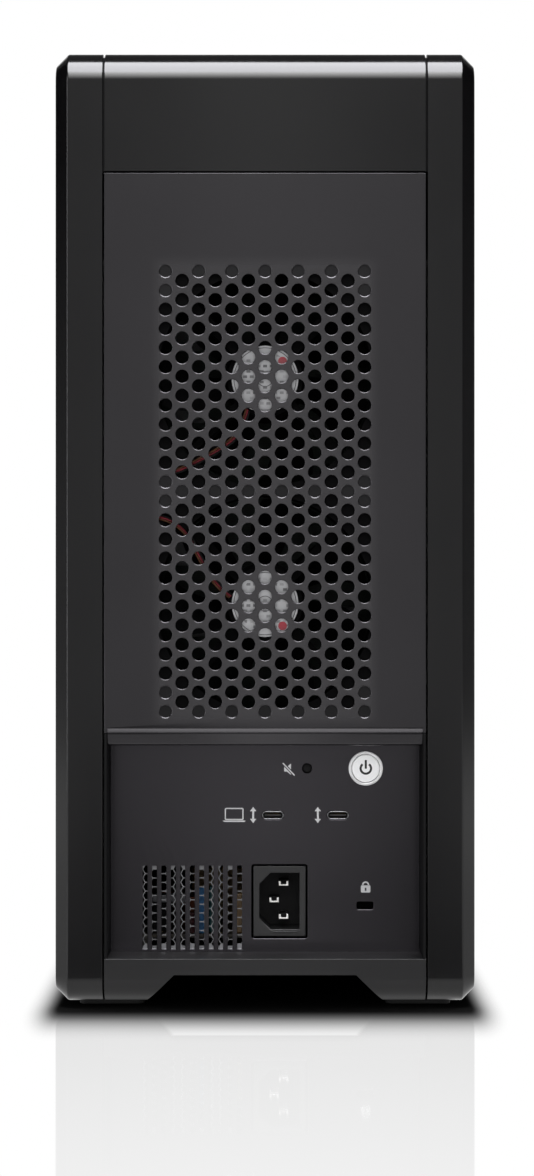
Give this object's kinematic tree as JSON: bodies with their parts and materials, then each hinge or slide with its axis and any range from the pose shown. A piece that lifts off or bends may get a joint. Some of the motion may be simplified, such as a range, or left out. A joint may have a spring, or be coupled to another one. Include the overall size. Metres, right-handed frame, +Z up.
{
  "type": "drive enclosure",
  "caption": "Black tower drive enclosure with a perforated fan panel and recessed connectors at the rear, and latching drive trays at the front",
  "frame": {"origin": "on the floor under the middle of the body", "axes": "+Z up, -Y towards the rear with the fans and connectors, +Y towards the front with the trays, +X to the right seen from the rear"},
  "size_m": [0.173, 0.318, 0.3939],
  "materials": {
    "shell_paint": "satin",
    "panel_paint": "satin",
    "foot_rubber": "matte",
    "black_plastic": "matte",
    "latch_plastic": "satin",
    "chassis_steel": "satin",
    "circuit_board": "satin",
    "brass": "satin",
    "bare_aluminium": "satin",
    "port_steel": "polished",
    "button_chrome": "polished",
    "button_white": "gloss",
    "fan_plastic": "satin",
    "lead_red": "satin",
    "label_white": "matte"
  },
  "bodies": {
    "chassis": {"left_side_panel": "shell_paint", "right_side_panel": "shell_paint", "top_cover": "shell_paint", "rear_panel": "panel_paint", "connector_panel": "panel_paint", "base_pan": "shell_paint", "rubber_feet": "foot_rubber", "front_frame": "black_plastic", "chassis_floor": "chassis_steel", "chassis_top_plate": "chassis_steel", "chassis_left_wall": "panel_paint", "chassis_right_wall": "panel_paint", "left_guide_rails": "black_plastic", "right_guide_rails": "black_plastic", "backplane_brackets": "chassis_steel", "backplane_board": "circuit_board", "backplane_sockets": "black_plastic", "controller_board": "circuit_board", "board_standoffs": "brass", "controller_heat_sink": "bare_aluminium", "data_ports": "port_steel", "power_button_ring": "button_chrome", "power_supply_case": "chassis_steel", "power_supply_board": "circuit_board", "mains_inlet": "black_plastic", "mains_pins": "port_steel", "upper_fan_frame": "fan_plastic", "lower_fan_frame": "fan_plastic", "upper_fan_lead": "lead_red", "lower_fan_lead": "lead_red", "fan_labels": "label_white"},
    "power_button_body": {"power_button": "button_white"},
    "mute_button_body": {"mute_button": "black_plastic"},
    "upper_fan_rotor_body": {"upper_fan_rotor": "fan_plastic"},
    "lower_fan_rotor_body": {"lower_fan_rotor": "fan_plastic"},
    "tray_1_body": {"drive_tray_1": "black_plastic", "hard_drive_1": "bare_aluminium"},
    "latch_1_body": {"tray_latch_1": "latch_plastic"},
    "tray_2_body": {"drive_tray_2": "black_plastic", "hard_drive_2": "bare_aluminium"},
    "latch_2_body": {"tray_latch_2": "latch_plastic"},
    "tray_3_body": {"drive_tray_3": "black_plastic", "hard_drive_3": "bare_aluminium"},
    "latch_3_body": {"tray_latch_3": "latch_plastic"},
    "tray_4_body": {"drive_tray_4": "black_plastic", "hard_drive_4": "bare_aluminium"},
    "latch_4_body": {"tray_latch_4": "latch_plastic"},
    "tray_5_body": {"drive_tray_5": "black_plastic", "hard_drive_5": "bare_aluminium"},
    "latch_5_body": {"tray_latch_5": "latch_plastic"},
    "tray_6_body": {"drive_tray_6": "black_plastic", "hard_drive_6": "bare_aluminium"},
    "latch_6_body": {"tray_latch_6": "latch_plastic"},
    "tray_7_body": {"drive_tray_7": "black_plastic", "hard_drive_7": "bare_aluminium"},
    "latch_7_body": {"tray_latch_7": "latch_plastic"},
    "tray_8_body": {"drive_tray_8": "black_plastic", "hard_drive_8": "bare_aluminium"},
    "latch_8_body": {"tray_latch_8": "latch_plastic"}
  },
  "joints": [
    {"name": "power_button_press", "type": "slide", "parent": "chassis", "child": "power_button_body", "axis": [0, 1, 0], "range_m": [0, 0.001], "stiffness_N_per_m": 600},
    {"name": "mute_button_press", "type": "slide", "parent": "chassis", "child": "mute_button_body", "axis": [0, 1, 0], "range_m": [0, 0.0008], "stiffness_N_per_m": 500},
    {"name": "upper_fan_spin", "type": "hinge", "parent": "chassis", "child": "upper_fan_rotor_body", "pos_m": [0, -0.1526, 0.25865], "axis": [0, 1, 0], "continuous": true},
    {"name": "lower_fan_spin", "type": "hinge", "parent": "chassis", "child": "lower_fan_rotor_body", "pos_m": [0, -0.1526, 0.16615], "axis": [0, 1, 0], "continuous": true},
    {"name": "tray_1_slide", "type": "slide", "parent": "chassis", "child": "tray_1_body", "axis": [0, 1, 0], "range_m": [0, 0.17]},
    {"name": "latch_1_swing", "type": "hinge", "parent": "tray_1_body", "child": "latch_1_body", "pos_m": [-0.0519, 0.1564, 0.091], "axis": [0, 0, 1], "range_deg": [0, 70]},
    {"name": "tray_2_slide", "type": "slide", "parent": "chassis", "child": "tray_2_body", "axis": [0, 1, 0], "range_m": [0, 0.17]},
    {"name": "latch_2_swing", "type": "hinge", "parent": "tray_2_body", "child": "latch_2_body", "pos_m": [-0.0519, 0.1564, 0.124], "axis": [0, 0, 1], "range_deg": [0, 70]},
    {"name": "tray_3_slide", "type": "slide", "parent": "chassis", "child": "tray_3_body", "axis": [0, 1, 0], "range_m": [0, 0.17]},
    {"name": "latch_3_swing", "type": "hinge", "parent": "tray_3_body", "child": "latch_3_body", "pos_m": [-0.0519, 0.1564, 0.157], "axis": [0, 0, 1], "range_deg": [0, 70]},
    {"name": "tray_4_slide", "type": "slide", "parent": "chassis", "child": "tray_4_body", "axis": [0, 1, 0], "range_m": [0, 0.17]},
    {"name": "latch_4_swing", "type": "hinge", "parent": "tray_4_body", "child": "latch_4_body", "pos_m": [-0.0519, 0.1564, 0.19], "axis": [0, 0, 1], "range_deg": [0, 70]},
    {"name": "tray_5_slide", "type": "slide", "parent": "chassis", "child": "tray_5_body", "axis": [0, 1, 0], "range_m": [0, 0.17]},
    {"name": "latch_5_swing", "type": "hinge", "parent": "tray_5_body", "child": "latch_5_body", "pos_m": [-0.0519, 0.1564, 0.223], "axis": [0, 0, 1], "range_deg": [0, 70]},
    {"name": "tray_6_slide", "type": "slide", "parent": "chassis", "child": "tray_6_body", "axis": [0, 1, 0], "range_m": [0, 0.17]},
    {"name": "latch_6_swing", "type": "hinge", "parent": "tray_6_body", "child": "latch_6_body", "pos_m": [-0.0519, 0.1564, 0.256], "axis": [0, 0, 1], "range_deg": [0, 70]},
    {"name": "tray_7_slide", "type": "slide", "parent": "chassis", "child": "tray_7_body", "axis": [0, 1, 0], "range_m": [0, 0.17]},
    {"name": "latch_7_swing", "type": "hinge", "parent": "tray_7_body", "child": "latch_7_body", "pos_m": [-0.0519, 0.1564, 0.289], "axis": [0, 0, 1], "range_deg": [0, 70]},
    {"name": "tray_8_slide", "type": "slide", "parent": "chassis", "child": "tray_8_body", "axis": [0, 1, 0], "range_m": [0, 0.17]},
    {"name": "latch_8_swing", "type": "hinge", "parent": "tray_8_body", "child": "latch_8_body", "pos_m": [-0.0519, 0.1564, 0.322], "axis": [0, 0, 1], "range_deg": [0, 70]}
  ]
}
